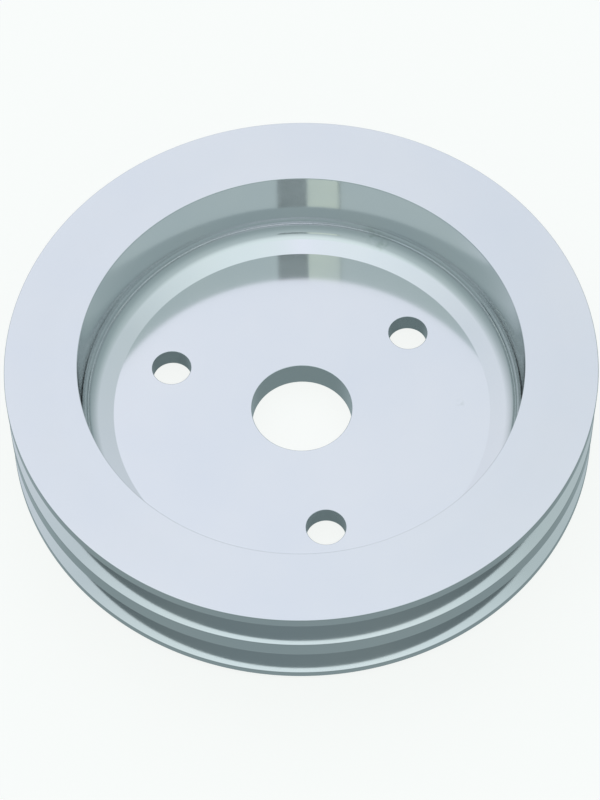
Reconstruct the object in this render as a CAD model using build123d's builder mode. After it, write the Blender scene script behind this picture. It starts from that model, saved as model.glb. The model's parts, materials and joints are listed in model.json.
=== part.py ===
from build123d import *
import math
import os

# Crankshaft pulley with two V-belt grooves, turned and drilled from one piece of aluminium.
# Millimetres. The origin is on the crank's axis in the plane of the back mounting face, and +Z
# points along the axis to the open front face. One bolt hole is on the -Y side.

# Rim
rim_radius = 82.55
rim_width = 31.75
edge_break = 0.2

# Belt grooves, counted from the front face
front_rib_width = 3.2
groove_mouth_width = 10.5
groove_pitch = 15.875
groove_count = 2
groove_depth = 11.0
groove_half_angle = 17.0

# Recess in the front: a straight wall, a round fillet, a short cone and a flat web
recess_radius = 62.2
recess_depth = 25.5
flat_web_radius = 53.6
foot_slope = 16.0
foot_fillet_radius = 6.0

# Pilot boss on the back, and the crank bore through it
boss_radius = 25.4
boss_height = 2.5
boss_chamfer = 0.4
bore_radius = 14.29
bore_front_break = 0.2
bore_back_chamfer = 0.4

# Bolt holes
bolt_circle_radius = 39.9
bolt_hole_radius = 5.56
bolt_hole_count = 3
first_bolt_angle = 30.0
bolt_front_break = 0.2
bolt_back_chamfer = 0.5

web_front = rim_width - recess_depth
foot_corner_height = web_front + (recess_radius - flat_web_radius) * math.tan(math.radians(foot_slope))
groove_floor_width = groove_mouth_width - 2 * groove_depth * math.tan(math.radians(groove_half_angle))
first_groove_height = rim_width - front_rib_width - groove_mouth_width / 2


def circles_at(edges, radius, height):
    """The circular edges with this radius at this height."""
    return [
        edge
        for edge in edges.filter_by(GeomType.CIRCLE)
        if abs(edge.radius - radius) < 0.01 and abs(edge.center(CenterOf.BOUNDING_BOX).Z - height) < 0.01
    ]


with BuildPart() as crank_pulley:
    # Turned blank: half of the section through the axis, with the bore and the grooves still solid
    with BuildSketch(Plane.XZ) as section:
        with BuildLine() as outline:
            back = Polyline(
                (0, -boss_height),
                (boss_radius, -boss_height),
                (boss_radius, 0),
                (rim_radius, 0),
                (rim_radius, rim_width),
                (recess_radius, rim_width),
            )
            foot = FilletPolyline(
                back @ 1,
                (recess_radius, foot_corner_height),
                (flat_web_radius, web_front),
                radius=foot_fillet_radius,
            )
            Polyline(foot @ 1, (0, web_front), back @ 0)
        make_face()
    revolve(axis=Axis.Z)

    # Belt grooves: V section with a narrow flat floor
    groove_heights = [first_groove_height - groove_pitch * i for i in range(groove_count)]
    for height in groove_heights:
        with BuildSketch(Plane.XZ) as groove:
            with BuildLine():
                Polyline(
                    (rim_radius, height - groove_mouth_width / 2),
                    (rim_radius, height + groove_mouth_width / 2),
                    (rim_radius - groove_depth, height + groove_floor_width / 2),
                    (rim_radius - groove_depth, height - groove_floor_width / 2),
                    close=True,
                )
            make_face()
        revolve(axis=Axis.Z, mode=Mode.SUBTRACT)

    # Crank bore and bolt holes
    with Locations((0, 0, web_front)):
        Hole(bore_radius)
        with PolarLocations(bolt_circle_radius, bolt_hole_count, start_angle=first_bolt_angle):
            Hole(bolt_hole_radius)

    # Edge breaks on the ribs and the recess mouth, and small chamfers on the holes
    edges = crank_pulley.edges()
    rib_edges = [rim_width, 0.0]
    for height in groove_heights:
        rib_edges += [height - groove_mouth_width / 2, height + groove_mouth_width / 2]
    broken = circles_at(edges, recess_radius, rim_width)
    for height in rib_edges:
        broken += circles_at(edges, rim_radius, height)
    chamfer(broken, edge_break)
    chamfer(circles_at(crank_pulley.edges(), bore_radius, web_front), bore_front_break)
    chamfer(circles_at(crank_pulley.edges(), bore_radius, -boss_height), bore_back_chamfer)
    chamfer(circles_at(crank_pulley.edges(), bolt_hole_radius, web_front), bolt_front_break)
    chamfer(circles_at(crank_pulley.edges(), bolt_hole_radius, 0.0), bolt_back_chamfer)
    chamfer(circles_at(crank_pulley.edges(), boss_radius, -boss_height), boss_chamfer)

crank_pulley.part.label = "crank_pulley"

os.makedirs("parts", exist_ok=True)
export_step(crank_pulley.part, "parts/crank_pulley.step")

size = crank_pulley.part.bounding_box().size
print(f"crank_pulley {size.X:.2f} x {size.Y:.2f} x {size.Z:.2f} mm, {crank_pulley.part.volume / 1000:.1f} cm3")
print("groove floor width", round(groove_floor_width, 2), "groove heights", [round(h, 3) for h in groove_heights])
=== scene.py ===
import json
import math

import bpy
from mathutils import Matrix, Vector
from mathutils.geometry import tessellate_polygon


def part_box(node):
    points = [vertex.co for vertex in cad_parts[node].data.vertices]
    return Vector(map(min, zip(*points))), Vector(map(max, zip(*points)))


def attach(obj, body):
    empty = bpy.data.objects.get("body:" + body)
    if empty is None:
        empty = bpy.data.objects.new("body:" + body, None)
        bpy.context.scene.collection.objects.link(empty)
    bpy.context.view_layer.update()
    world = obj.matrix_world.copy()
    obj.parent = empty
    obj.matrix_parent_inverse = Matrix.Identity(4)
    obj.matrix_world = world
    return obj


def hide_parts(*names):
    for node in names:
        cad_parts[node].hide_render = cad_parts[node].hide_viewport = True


# The looks of a crankshaft pulley with two V-belt grooves, turned from one piece of aluminium.
# Metres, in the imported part's frame: the origin is on the crank's axis in the plane of the back
# mounting face, and +Z points along the axis to the open front.

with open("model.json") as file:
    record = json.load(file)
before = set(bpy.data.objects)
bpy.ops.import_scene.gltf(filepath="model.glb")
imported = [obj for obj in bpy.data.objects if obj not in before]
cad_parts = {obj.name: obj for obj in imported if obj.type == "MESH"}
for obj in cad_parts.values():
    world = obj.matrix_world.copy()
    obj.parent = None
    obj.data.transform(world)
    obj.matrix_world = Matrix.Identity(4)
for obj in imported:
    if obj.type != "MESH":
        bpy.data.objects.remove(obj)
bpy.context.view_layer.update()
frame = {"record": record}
mounts = {mount["name"]: mount for mount in frame["record"]["mounts"]}

MM = 0.001

# Sizes that the frame gives
low_corner, high_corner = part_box("crank_pulley")
rim_radius = high_corner.x
rim_front = high_corner.z
boss_end = low_corner.z
web_front = mounts["bolt_seat_face"]["pos_m"][2]
bore_radius = mounts["crank_bore"]["dims"]["r_mm"] * MM
boss_radius = mounts["pilot_boss"]["dims"]["r_mm"] * MM
bolt_circle_radius = mounts["bolt_circle"]["dims"]["pcd_mm"] * MM / 2
bolt_hole_radius = mounts["bolt_circle"]["dims"]["hole_r_mm"] * MM
bolt_hole_count = mounts["bolt_circle"]["dims"]["count"]
groove_floor_radius = mounts["front_belt_groove"]["pos_m"][0]
groove_heights = [mounts[name]["pos_m"][2] for name in ("front_belt_groove", "rear_belt_groove")]

# Sizes of the section that the frame doesn't name
first_bolt_angle = math.radians(30.0)
recess_radius = 62.2 * MM
flat_web_radius = 53.6 * MM
foot_slope = math.radians(16.0)
foot_fillet = 6.0 * MM
groove_mouth_width = 10.5 * MM
groove_half_angle = math.radians(17.0)
groove_floor_fillet = 0.5 * MM
rim_edge = 0.2 * MM
recess_edge = 0.25 * MM
bore_front_edge = 0.2 * MM
bolt_front_edge = 0.15 * MM
back_edge = 0.4 * MM
boss_foot_fillet = 0.4 * MM

# Fineness of the mesh
turned_segments = 432
hole_segments = 108
arc_step = math.radians(7.5)

# The finishes, in the order of the piece's material slots
FACE, RECESS, GROOVE, BORE, DRILLED, BACK = range(6)


# The turned section -----------------------------------------------------------------------------

def outward(direction):
    """The side of a run that faces away from the metal, which lies on the run's right."""
    return Vector((-direction.y, direction.x))


def rounded_corner(corner, before, after, rounding):
    """The points and normals of an arc that replaces a corner between two directions."""
    turn = before.angle_signed(after)
    side = math.copysign(rounding, turn)
    start = corner - before * rounding * math.tan(abs(turn) / 2)
    first_normal = outward(before)
    centre = start - first_normal * side
    steps = max(2, math.ceil(abs(turn) / arc_step))
    arc = []
    for step in range(steps + 1):
        normal = Matrix.Rotation(-turn * step / steps, 2) @ first_normal
        arc.append((centre + normal * side, normal))
    return arc


def stretches(corners):
    """Straight runs and arcs along an outline of (radius, height, rounding, finish of the run after it)."""
    points = [Vector(corner[:2]) for corner in corners]
    made = []
    at = points[0]
    for index in range(1, len(corners)):
        before = (points[index] - points[index - 1]).normalized()
        rounding, finish = corners[index][2], corners[index - 1][3]
        arc = []
        if rounding and index < len(corners) - 1:
            after = (points[index + 1] - points[index]).normalized()
            arc = rounded_corner(points[index], before, after, rounding)
        end = arc[0][0] if arc else points[index]
        made.append(([(at, outward(before)), (end, outward(before))], finish))
        if arc:
            made.append((arc, corners[index][3] if rounding == foot_fillet else finish))
        at = arc[-1][0] if arc else end
    return made


def pulley_outline():
    """Half of the section, from the foot of the recess out over the rim, the back and the bore."""
    foot_height = web_front + (recess_radius - flat_web_radius) * math.tan(foot_slope)
    depth = rim_radius - groove_floor_radius
    half_mouth = groove_mouth_width / 2
    half_floor = half_mouth - depth * math.tan(groove_half_angle)
    outline = [
        (flat_web_radius, web_front, 0, RECESS),
        (recess_radius, foot_height, foot_fillet, RECESS),
        (recess_radius, rim_front, recess_edge, FACE),
        (rim_radius, rim_front, rim_edge, GROOVE),
    ]
    for height in groove_heights:
        outline += [
            (rim_radius, height + half_mouth, rim_edge, GROOVE),
            (groove_floor_radius, height + half_floor, groove_floor_fillet, GROOVE),
            (groove_floor_radius, height - half_floor, groove_floor_fillet, GROOVE),
            (rim_radius, height - half_mouth, rim_edge, GROOVE),
        ]
    outline += [
        (rim_radius, 0, rim_edge, BACK),
        (boss_radius, 0, boss_foot_fillet, BACK),
        (boss_radius, boss_end, back_edge, BACK),
        (bore_radius, boss_end, back_edge, BORE),
        (bore_radius, web_front, bore_front_edge, RECESS),
        (flat_web_radius, web_front, 0, RECESS),
    ]
    return outline


def bolt_hole_outline():
    """The wall of a bolt hole from back to front, measured from the hole's own axis."""
    beside = bolt_hole_radius * 1.5
    return [
        (beside, 0, 0, BACK),
        (bolt_hole_radius, 0, back_edge, DRILLED),
        (bolt_hole_radius, web_front, bolt_front_edge, RECESS),
        (beside, web_front, 0, RECESS),
    ]


# The mesh ---------------------------------------------------------------------------------------

class Surface:
    """Vertices, faces and the exact normal at each corner of each face."""

    def __init__(self):
        self.vertices, self.faces, self.normals, self.finishes = [], [], [], []
        self.rings = {}

    def ring(self, axis, radius, height, segments):
        """The vertices of a circle about an upright axis, made once for each place."""
        key = (round(axis.x, 7), round(axis.y, 7), round(radius, 8), round(height, 8))
        if key not in self.rings:
            first = len(self.vertices)
            for segment in range(segments):
                angle = 2 * math.pi * segment / segments
                place = axis + Vector((math.cos(angle), math.sin(angle))) * radius
                self.vertices.append((place.x, place.y, height))
            self.rings[key] = list(range(first, first + segments))
        return self.rings[key]

    def add(self, face, normals, finish):
        self.faces.append(face)
        self.normals.extend(normals)
        self.finishes.append(finish)

    def turn(self, axis, run, finish, segments):
        """A stretch of the section, turned about an upright axis."""
        rings = [self.ring(axis, point.x, point.y, segments) for point, _ in run]
        spokes = [2 * math.pi * segment / segments for segment in range(segments)]
        around = [
            [(normal.x * math.cos(angle), normal.x * math.sin(angle), normal.y) for angle in spokes]
            for _, normal in run
        ]
        for row in range(len(run) - 1):
            here, there = rings[row], rings[row + 1]
            n_here, n_there = around[row], around[row + 1]
            for k in range(segments):
                j = (k + 1) % segments
                face = (here[k], there[k], there[j], here[j])
                self.add(face, (n_here[k], n_there[k], n_there[j], n_here[j]), finish)

    def plate(self, loops, up, finish):
        """A flat face between an outer circle and the circles inside it, facing up or down."""
        flat = [index for loop in loops for index in loop]
        outlines = [[Vector(self.vertices[index]) for index in loop] for loop in loops]
        for triangle in tessellate_polygon(outlines):
            a, b, c = (flat[corner] for corner in triangle)
            pa, pb, pc = (Vector(self.vertices[index]).xy for index in (a, b, c))
            if ((pb - pa).cross(pc - pa) > 0) != up:
                b, c = c, b
            self.add((a, b, c), [(0.0, 0.0, 1.0 if up else -1.0)] * 3, finish)

    def to_object(self, name, materials):
        mesh = bpy.data.meshes.new(name)
        mesh.from_pydata(self.vertices, [], self.faces)
        for material in materials:
            mesh.materials.append(material)
        mesh.polygons.foreach_set("material_index", self.finishes)
        mesh.shade_smooth()
        mesh.normals_split_custom_set(self.normals)
        made = bpy.data.objects.new(name, mesh)
        bpy.context.scene.collection.objects.link(made)
        return made


def is_drilled(run):
    """True for a flat stretch that the bolt holes go through."""
    (start, _), (end, _) = run[0], run[-1]
    level = abs(start.y - end.y) < 1e-9
    return level and min(start.x, end.x) < bolt_circle_radius < max(start.x, end.x)


def make_pulley(materials):
    surface = Surface()
    centre = Vector((0, 0))
    hole_axes = []
    for hole in range(bolt_hole_count):
        angle = first_bolt_angle + 2 * math.pi * hole / bolt_hole_count
        hole_axes.append(Vector((math.cos(angle), math.sin(angle))) * bolt_circle_radius)

    hole_wall = stretches(bolt_hole_outline())[1:-1]
    for axis in hole_axes:
        for run, finish in hole_wall:
            surface.turn(axis, run, finish, hole_segments)
    back_mouth, front_mouth = hole_wall[0][0][0][0], hole_wall[-1][0][-1][0]

    for run, finish in stretches(pulley_outline()):
        if not is_drilled(run):
            surface.turn(centre, run, finish, turned_segments)
            continue
        height = run[0][0].y
        up = run[0][1].y > 0
        mouth = front_mouth if up else back_mouth
        radii = sorted((run[0][0].x, run[-1][0].x), reverse=True)
        loops = [surface.ring(centre, radius, height, turned_segments) for radius in radii]
        loops += [surface.ring(axis, mouth.x, height, hole_segments) for axis in hole_axes]
        surface.plate(loops, up, finish)
    return surface.to_object("pulley_body", materials)


# The metal --------------------------------------------------------------------------------------

def link(tree, *pairs):
    for source, target in pairs:
        tree.links.new(source, target)


def math_node(tree, operation, *inputs):
    node = tree.nodes.new("ShaderNodeMath")
    node.operation = operation
    for socket, value in zip(node.inputs, inputs):
        if isinstance(value, (int, float)):
            socket.default_value = value
        else:
            tree.links.new(value, socket)
    return node.outputs[0]


def noise_node(tree, vector, scale, detail=2.0, roughness=0.5):
    node = tree.nodes.new("ShaderNodeTexNoise")
    node.inputs["Scale"].default_value = scale
    node.inputs["Detail"].default_value = detail
    node.inputs["Roughness"].default_value = roughness
    tree.links.new(vector, node.inputs["Vector"])
    return node.outputs["Fac"]


def spread(tree, value, low, high, source_low=0.0, source_high=1.0):
    """The value carried from one range to another."""
    node = tree.nodes.new("ShaderNodeMapRange")
    link(tree, (value, node.inputs["Value"]))
    limits = {"From Min": source_low, "From Max": source_high, "To Min": low, "To Max": high}
    for name, number in limits.items():
        node.inputs[name].default_value = number
    return node.outputs["Result"]


def painted_shade_mask(tree, place, shade_patches):
    """Ragged patches of painted shade around a few points of the surface, from 0 to 1."""
    ragged = spread(tree, noise_node(tree, place, 1 / shade_patch_grain, detail=2.0), 0.0, 1.0, 0.45, 0.80)
    near = 0.0
    for degrees, radius, height, reach in shade_patches:
        angle = math.radians(degrees)
        distance = tree.nodes.new("ShaderNodeVectorMath")
        distance.operation = "DISTANCE"
        mark = (radius * math.cos(angle), radius * math.sin(angle), web_front + height)
        distance.inputs[1].default_value = mark
        link(tree, (place, distance.inputs[0]))
        strength = spread(tree, distance.outputs["Value"], 1.0, 0.0, reach * 0.2, reach)
        near = math_node(tree, "MAXIMUM", strength, near)
    return math_node(tree, "MULTIPLY", ragged, near)


def aluminium(name, tint, roughness, mark_pitch, mark_depth, shade_patches=()):
    """Bare turned aluminium: tool marks, a soft cloudiness and, where asked, patches of painted shade."""
    material = bpy.data.materials.new(name)
    material.use_nodes = True
    tree = material.node_tree
    shader = tree.nodes["Principled BSDF"]
    shader.inputs["Metallic"].default_value = 1.0

    # The tool marks run around the axis, so the metal scatters light across them
    shader.inputs["Anisotropic"].default_value = 0.75
    shader.inputs["Anisotropic Rotation"].default_value = 0.25

    place = tree.nodes.new("ShaderNodeTexCoord").outputs["Object"]
    split = tree.nodes.new("ShaderNodeSeparateXYZ")
    link(tree, (place, split.inputs[0]))
    x, y, z = split.outputs
    squares = [math_node(tree, "MULTIPLY", side, side) for side in (x, y)]
    radius = math_node(tree, "SQRT", math_node(tree, "ADD", *squares))

    # Tool marks depend only on the radius and the height, as the lathe's tool left them
    section = tree.nodes.new("ShaderNodeCombineXYZ")
    link(tree, (radius, section.inputs[0]), (z, section.inputs[1]))
    fine_marks = noise_node(tree, section.outputs[0], 1 / mark_pitch, detail=3.0)
    broad_marks = noise_node(tree, section.outputs[0], 1 / (mark_pitch * 12), detail=1.0)

    # Cloudiness from polishing and handling
    clouds = noise_node(tree, place, 1 / cloud_size, detail=3.0, roughness=0.6)
    specks = noise_node(tree, place, 1 / speck_size, detail=2.0)

    colour = tree.nodes.new("ShaderNodeMix")
    colour.data_type = "RGBA"
    colour.inputs["A"].default_value = (tint[0] * 0.965, tint[1] * 0.975, tint[2] * 0.985, 1)
    colour.inputs["B"].default_value = (min(1.0, tint[0] * 1.015), min(1.0, tint[1] * 1.01), tint[2], 1)
    link(tree, (spread(tree, clouds, 0.0, 1.0, 0.3, 0.7), colour.inputs["Factor"]))
    surface_colour = colour.outputs["Result"]
    # Dark green patches of painted shade, mixed into the metal's colour
    if shade_patches:
        shade_mix = tree.nodes.new("ShaderNodeMix")
        shade_mix.data_type = "RGBA"
        shade_mix.inputs["B"].default_value = (*painted_shade_tint, 1)
        link(
            tree,
            (painted_shade_mask(tree, place, shade_patches), shade_mix.inputs["Factor"]),
            (surface_colour, shade_mix.inputs["A"]),
        )
        surface_colour = shade_mix.outputs["Result"]
    link(tree, (surface_colour, shader.inputs["Base Color"]))

    # The finish is uneven by a share of its own roughness
    uneven = roughness * finish_unevenness
    rough = math_node(tree, "ADD", spread(tree, clouds, -uneven, uneven, 0.3, 0.7), roughness)
    rough = math_node(tree, "ADD", rough, spread(tree, broad_marks, -uneven, uneven, 0.3, 0.7))
    rough = math_node(tree, "ADD", rough, spread(tree, specks, 0.0, uneven, 0.5, 0.8))
    link(tree, (rough, shader.inputs["Roughness"]))

    bump = tree.nodes.new("ShaderNodeBump")
    bump.inputs["Strength"].default_value = 1.0
    bump.inputs["Distance"].default_value = mark_depth
    link(tree, (fine_marks, bump.inputs["Height"]), (bump.outputs["Normal"], shader.inputs["Normal"]))

    tangent = tree.nodes.new("ShaderNodeTangent")
    tangent.direction_type = "RADIAL"
    tangent.axis = "Z"
    link(tree, (tangent.outputs["Tangent"], shader.inputs["Tangent"]))
    return material


metal_tint = (0.90, 0.905, 0.915)
# Darker tints for the bore and the drilled bolt-hole walls: painted shade inside the holes
bore_shade_tint = (0.80, 0.83, 0.83)
drilled_wall_shade_tint = (0.62, 0.66, 0.67)
# Painted shade: the dark green colour of the patches in the recess, and the grain of their ragged edges
painted_shade_tint = (0.55, 0.61, 0.55)
shade_patch_grain = 2.6 * MM
cloud_size = 45 * MM
speck_size = 3 * MM
finish_unevenness = 0.15

# Patches of painted shade in the recess, at the foot of the far wall and on the web: (angle in degrees,
# radius, height above the web, reach)
recess_shade_patches = [
    (60, 61.2 * MM, 3.7 * MM, 4 * MM),
    (57, 60.6 * MM, 2.9 * MM, 4 * MM),
    (-8, 45 * MM, 0, 1.6 * MM),
]
finishes = [
    aluminium("aluminium_front_face", metal_tint, 0.17, 0.9 * MM, 0.0006 * MM),
    # The polished recess also carries the patches of painted shade
    aluminium("aluminium_polished_recess_painted_shade", metal_tint, 0.08, 0.8 * MM, 0.0003 * MM, shade_patches=recess_shade_patches),
    aluminium("aluminium_turned_groove", metal_tint, 0.08, 0.7 * MM, 0.0004 * MM),
    # The bore and drilled walls take darker tints, which paint shade inside the holes
    aluminium("aluminium_bore_wall_painted_shade", bore_shade_tint, 0.18, 0.5 * MM, 0.0010 * MM),
    aluminium("aluminium_drilled_wall_painted_shade", drilled_wall_shade_tint, 0.28, 0.4 * MM, 0.0020 * MM),
    aluminium("aluminium_turned_back", metal_tint, 0.20, 0.9 * MM, 0.0012 * MM),
]
pulley = make_pulley(finishes)
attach(pulley, "root")
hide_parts("crank_pulley")


# The camera -------------------------------------------------------------------------------------

camera_azimuth = math.radians(-8.9)
camera_elevation = math.radians(56.72)
camera_distance = 842 * MM
aim_offset = Vector((-0.47, -13.63, 0)) * MM
camera_roll = math.radians(1.03)

across = Vector((math.cos(camera_azimuth), math.sin(camera_azimuth), 0))
away = Vector((-math.sin(camera_azimuth), math.cos(camera_azimuth), 0))
front_centre = Vector((0, 0, rim_front))
aim = front_centre + across * aim_offset.x + away * aim_offset.y
toward_camera = Vector((0, 0, math.sin(camera_elevation))) - away * math.cos(camera_elevation)
camera_place = front_centre + toward_camera * camera_distance

camera_data = bpy.data.cameras.new("camera")
camera_data.lens = 136.35
camera_data.sensor_width = 36
camera_data.clip_start = 0.01
camera_data.clip_end = 50
camera = bpy.data.objects.new("camera", camera_data)
bpy.context.scene.collection.objects.link(camera)
look = (aim - camera_place).to_track_quat("-Z", "Y")
camera.rotation_mode = "QUATERNION"
camera.rotation_quaternion = look @ Matrix.Rotation(-camera_roll, 3, "Z").to_quaternion()
camera.location = camera_place
bpy.context.scene.camera = camera


# The studio -------------------------------------------------------------------------------------

# Brightness of the room that the metal mirrors, by elevation in degrees: a dim side around the
# camera, and a bright side across from it
dim_side = [(-90, 0.35), (-35, 0.14), (0, 0.29), (30, 0.38), (60, 0.54), (80, 0.85)]
bright_side = [(-90, 0.35), (-40, 0.42), (5, 0.46), (28, 0.74), (60, 0.84), (80, 0.88)]
dim_tint = (0.86, 1.0, 1.02)
bright_tint = (0.935, 1.0, 1.11)
shade_tint = (0.77, 1.0, 1.04)
bright_turn = math.radians(12.0)


def room_colour(brightness, tint):
    """A light's tint at full brightness, greener where the room is darker."""
    share = min(1.0, max(0.0, (brightness - 0.3) / 0.4))
    return [brightness * (shade + (light - shade) * share) for shade, light in zip(shade_tint, tint)] + [1.0]


def elevation_ramp(tree, height, stops, tint):
    ramp = tree.nodes.new("ShaderNodeValToRGB")
    elements = ramp.color_ramp.elements
    while len(elements) < len(stops):
        elements.new(0.5)
    for element, (degrees, brightness) in zip(elements, stops):
        element.position = 0.5 + 0.5 * math.sin(math.radians(degrees))
        element.color = room_colour(brightness, tint)
    link(tree, (height, ramp.inputs["Fac"]))
    return ramp.outputs["Color"]


def make_room():
    world = bpy.data.worlds.new("studio")
    world.use_nodes = True
    bpy.context.scene.world = world
    tree = world.node_tree
    direction = tree.nodes.new("ShaderNodeTexCoord").outputs["Generated"]
    split = tree.nodes.new("ShaderNodeSeparateXYZ")
    link(tree, (direction, split.inputs[0]))
    height = spread(tree, split.outputs["Z"], 0.0, 1.0, -1.0, 1.0)

    level = tree.nodes.new("ShaderNodeVectorMath")
    level.operation = "MULTIPLY"
    level.inputs[1].default_value = (1, 1, 0)
    bearing = tree.nodes.new("ShaderNodeVectorMath")
    bearing.operation = "NORMALIZE"
    away_share = tree.nodes.new("ShaderNodeVectorMath")
    away_share.operation = "DOT_PRODUCT"
    away_share.inputs[1].default_value = Matrix.Rotation(bright_turn, 3, "Z") @ away
    link(
        tree,
        (direction, level.inputs[0]),
        (level.outputs["Vector"], bearing.inputs[0]),
        (bearing.outputs["Vector"], away_share.inputs[0]),
    )
    facing = math_node(tree, "POWER", math_node(tree, "MAXIMUM", away_share.outputs["Value"], 0.0), 2.0)
    mix = tree.nodes.new("ShaderNodeMix")
    mix.data_type = "RGBA"
    link(
        tree,
        (facing, mix.inputs["Factor"]),
        (elevation_ramp(tree, height, dim_side, dim_tint), mix.inputs["A"]),
        (elevation_ramp(tree, height, bright_side, bright_tint), mix.inputs["B"]),
        (mix.outputs["Result"], tree.nodes["Background"].inputs["Color"]),
    )


# The floor stays clear of the boss's end, so that the two faces don't coincide
floor_gap = 0.05 * MM


def make_floor():
    """A pale floor under the boss, lit a little from within, so that it stays nearly white."""
    half = 4.0
    height = boss_end - floor_gap
    mesh = bpy.data.meshes.new("floor")
    corners = [(-half, -half, height), (half, -half, height), (half, half, height), (-half, half, height)]
    mesh.from_pydata(corners, [], [(0, 1, 2, 3)])
    floor = bpy.data.objects.new("floor", mesh)
    bpy.context.scene.collection.objects.link(floor)
    material = bpy.data.materials.new("pale_floor")
    material.use_nodes = True
    shader = material.node_tree.nodes["Principled BSDF"]
    shader.inputs["Base Color"].default_value = (0.2, 0.2, 0.2, 1)
    shader.inputs["Roughness"].default_value = 1.0
    shader.inputs["Specular IOR Level"].default_value = 0.0
    shader.inputs["Emission Color"].default_value = (0.985, 1.0, 0.98, 1)
    shader.inputs["Emission Strength"].default_value = 0.86
    mesh.materials.append(material)
    floor.visible_glossy = False


def make_card(name, sideways, width, tall, nearer, colour):
    """An upright card beside the lens, which shows only in the metal's reflections."""
    mesh = bpy.data.meshes.new(name)
    x, y = width / 2, tall / 2
    mesh.from_pydata([(-x, -y, 0), (x, -y, 0), (x, y, 0), (-x, y, 0)], [], [(0, 1, 2, 3)])
    card = bpy.data.objects.new(name, mesh)
    bpy.context.scene.collection.objects.link(card)
    place = Matrix.Translation(camera_place) @ look.to_matrix().to_4x4()
    card.matrix_world = place @ Matrix.Translation((sideways, 0, -nearer))
    material = bpy.data.materials.new(name)
    material.use_nodes = True
    shader = material.node_tree.nodes["Principled BSDF"]
    shader.inputs["Base Color"].default_value = (0, 0, 0, 1)
    shader.inputs["Specular IOR Level"].default_value = 0.0
    shader.inputs["Emission Color"].default_value = (*colour, 1)
    shader.inputs["Emission Strength"].default_value = 1.0
    mesh.materials.append(material)
    card.visible_camera = False
    card.visible_diffuse = False
    card.visible_shadow = False


def make_camera_front():
    """What the recess mirrors from beside the lens: the camera's front, a pale board and its edge."""
    tall = 84 * MM
    make_card("camera_body", 27 * MM, 132 * MM, tall, 0, (0.04, 0.05, 0.05))
    make_card("camera_grip", 59 * MM, 46 * MM, tall, 1 * MM, (0.02, 0.03, 0.03))
    make_card("camera_strap", -20 * MM, 20 * MM, tall, 1 * MM, (0.02, 0.03, 0.03))
    make_card("lens_front", 27 * MM, 136 * MM, tall * 0.36, 2 * MM, (0.30, 0.37, 0.38))
    make_card("pale_board", -111 * MM, 143 * MM, tall, 0, (0.58, 0.68, 0.60))
    make_card("board_edge", -186 * MM, 7 * MM, tall, 0, (0.10, 0.14, 0.12))


make_room()
make_floor()
make_camera_front()
bpy.context.scene.view_settings.view_transform = "Standard"
